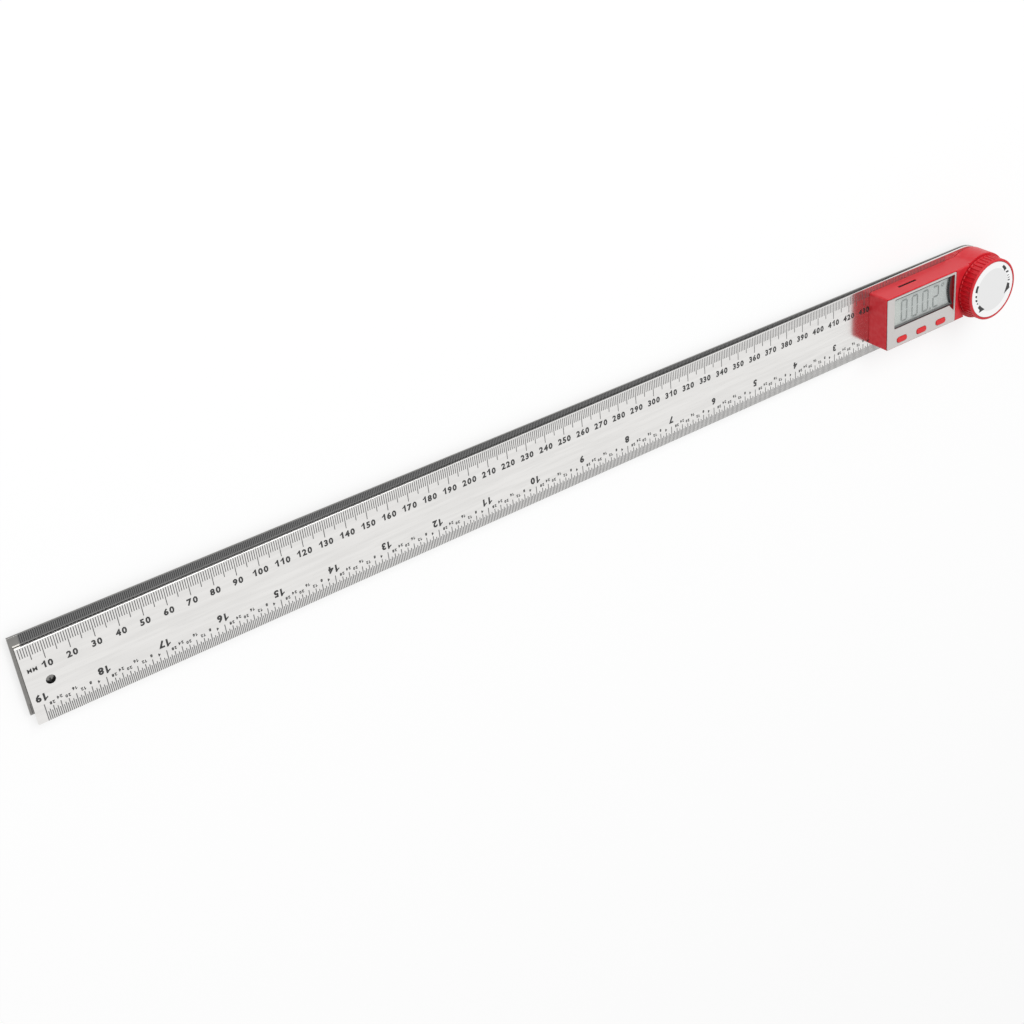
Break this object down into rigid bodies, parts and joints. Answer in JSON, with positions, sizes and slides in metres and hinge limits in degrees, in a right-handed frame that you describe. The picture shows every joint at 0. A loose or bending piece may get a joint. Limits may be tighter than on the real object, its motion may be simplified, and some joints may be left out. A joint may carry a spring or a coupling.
{
  "type": "digital angle ruler",
  "caption": "Digital angle ruler: steel rules joined by a pivot, under a red display head with a knurled locking knob",
  "frame": {"origin": "on the pivot's axis, at the flat underside of the rear cap that the tool rests on", "axes": "+X along the front rule towards the pivot end, +Y across it towards its millimetre edge, +Z out of its scale face"},
  "size_m": [0.5185, 0.0408, 0.0238],
  "materials": {
    "steel": "satin, with grey etched scales",
    "red_plastic": "fine satin",
    "button_plastic": "smooth",
    "black_plastic": "satin",
    "silver_plate": "satin silver",
    "clear_window": "clear",
    "display_glass": "grey-green display with grey digits",
    "circuit_board": "green board",
    "contact_rubber": "matte",
    "brass": "turned",
    "ribbon_film": "amber film",
    "white_disc": "white with black arrows",
    "bright_steel": "bright"
  },
  "bodies": {
    "head": {"front_rule": "steel", "head_shell": "red_plastic", "base_plate": "black_plastic", "face_plate": "silver_plate", "display_frame": "black_plastic", "display_glass": "display_glass", "display_window": "clear_window", "circuit_board": "circuit_board", "main_chip": "black_plastic", "crystal": "black_plastic", "dome_switch_left": "bright_steel", "dome_switch_middle": "bright_steel", "dome_switch_right": "bright_steel", "contact_strip_lower": "contact_rubber", "contact_strip_upper": "contact_rubber", "stator_disc": "circuit_board", "ribbon_cable": "ribbon_film", "coin_cell": "bright_steel", "cell_contact_top": "bright_steel", "cell_contact_side": "bright_steel", "lock_spindle": "bright_steel", "spring_washer": "bright_steel", "rule_screw_1": "bright_steel", "rule_screw_2": "bright_steel", "rule_screw_3": "bright_steel", "rule_screw_4": "bright_steel", "board_screw_1": "bright_steel", "board_screw_2": "bright_steel"},
    "rear_arm": {"rear_rule": "steel", "pivot_hub": "bright_steel", "hub_rivet_1": "bright_steel", "hub_rivet_2": "bright_steel", "hub_rivet_3": "bright_steel", "rear_cap": "black_plastic", "rotor_disc": "circuit_board"},
    "knob": {"lock_knob": "red_plastic", "knob_nut": "brass", "knob_disc": "white_disc"},
    "button_left": {"button_left": "button_plastic"},
    "button_middle": {"button_middle": "button_plastic"},
    "button_right": {"button_right": "button_plastic"},
    "battery_cover": {"battery_cover": "black_plastic"}
  },
  "joints": [
    {"name": "rear_rule_turn", "type": "hinge", "parent": "head", "child": "rear_arm", "pos_m": [0, 0, 0.0048], "axis": [0, 0, 1], "continuous": true},
    {"name": "lock_knob_turn", "type": "hinge", "parent": "head", "child": "knob", "pos_m": [0, 0, 0.02], "axis": [0, 0, 1], "range_deg": [0, 270]},
    {"name": "button_left_press", "type": "slide", "parent": "head", "child": "button_left", "axis": [0, 0, -1], "range_m": [0, 0.0005], "stiffness_N_per_m": 400},
    {"name": "button_middle_press", "type": "slide", "parent": "head", "child": "button_middle", "axis": [0, 0, -1], "range_m": [0, 0.0005], "stiffness_N_per_m": 400},
    {"name": "button_right_press", "type": "slide", "parent": "head", "child": "button_right", "axis": [0, 0, -1], "range_m": [0, 0.0005], "stiffness_N_per_m": 400},
    {"name": "battery_cover_turn", "type": "hinge", "parent": "head", "child": "battery_cover", "pos_m": [-0.045, 0.00115, 0.0044], "axis": [0, 0, 1], "range_deg": [0, 45]}
  ]
}
